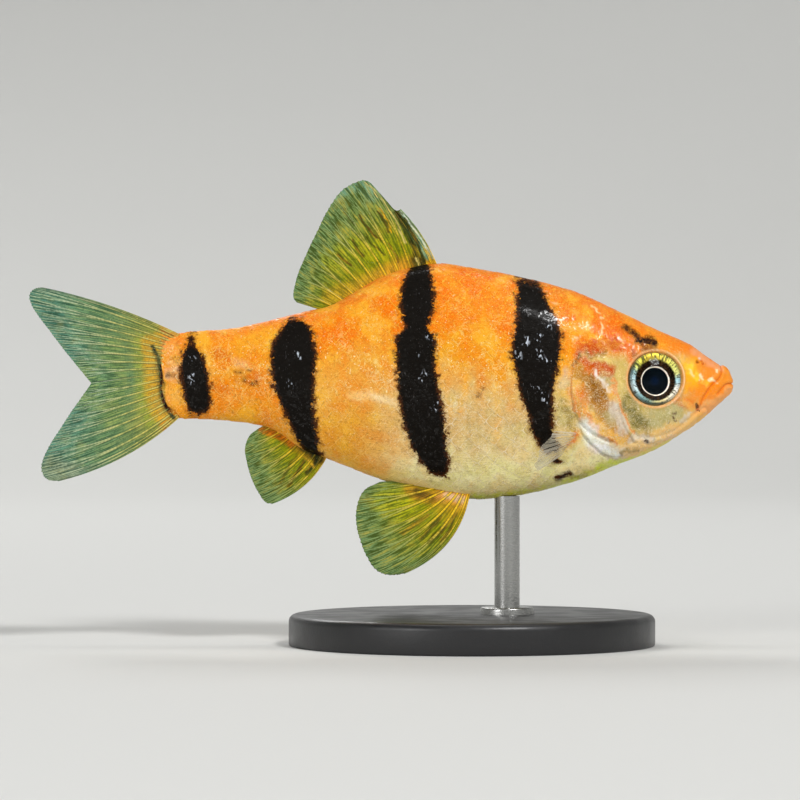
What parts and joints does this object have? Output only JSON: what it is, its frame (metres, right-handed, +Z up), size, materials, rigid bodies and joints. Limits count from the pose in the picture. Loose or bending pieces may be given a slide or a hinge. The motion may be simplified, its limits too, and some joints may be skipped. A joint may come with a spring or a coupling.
{
  "type": "five-banded barb",
  "caption": "Small deep-bodied banded aquarium fish, swimming level with its fins spread, held by a rod over a round display base.",
  "frame": {"origin": "on the surface that the stand rests on, under the centre of the part's overall box", "axes": "+X to the snout, +Y to the fish's left, +Z up"},
  "size_m": [0.05, 0.026, 0.0329],
  "materials": {
    "skin": "wet-looking scaled skin, orange with black bands",
    "jaw": "smooth wet skin",
    "gill_cover": "thin pearly bone under skin",
    "eye": "clear glossy eye over a black pupil and metallic iris",
    "fin": "thin membrane with raised rays",
    "tail_fin": "thin membrane with raised rays",
    "clear_fin": "clear membrane with pale rays",
    "stand_base": "satin black paint",
    "stand_rod": "brushed"
  },
  "bodies": {
    "root": {"head": "skin", "lower_jaw": "jaw", "gill_cover_right": "gill_cover", "gill_cover_left": "gill_cover", "eye_right": "eye", "eye_left": "eye", "trunk": "skin", "tail_stem": "skin", "dorsal_fin": "fin", "anal_fin": "fin", "pelvic_fin_right": "fin", "pelvic_fin_left": "fin", "pectoral_fin_right": "clear_fin", "pectoral_fin_left": "clear_fin", "caudal_fin_upper": "tail_fin", "caudal_fin_lower": "tail_fin", "stand_base": "stand_base", "stand_rod": "stand_rod"}
  },
  "joints": []
}
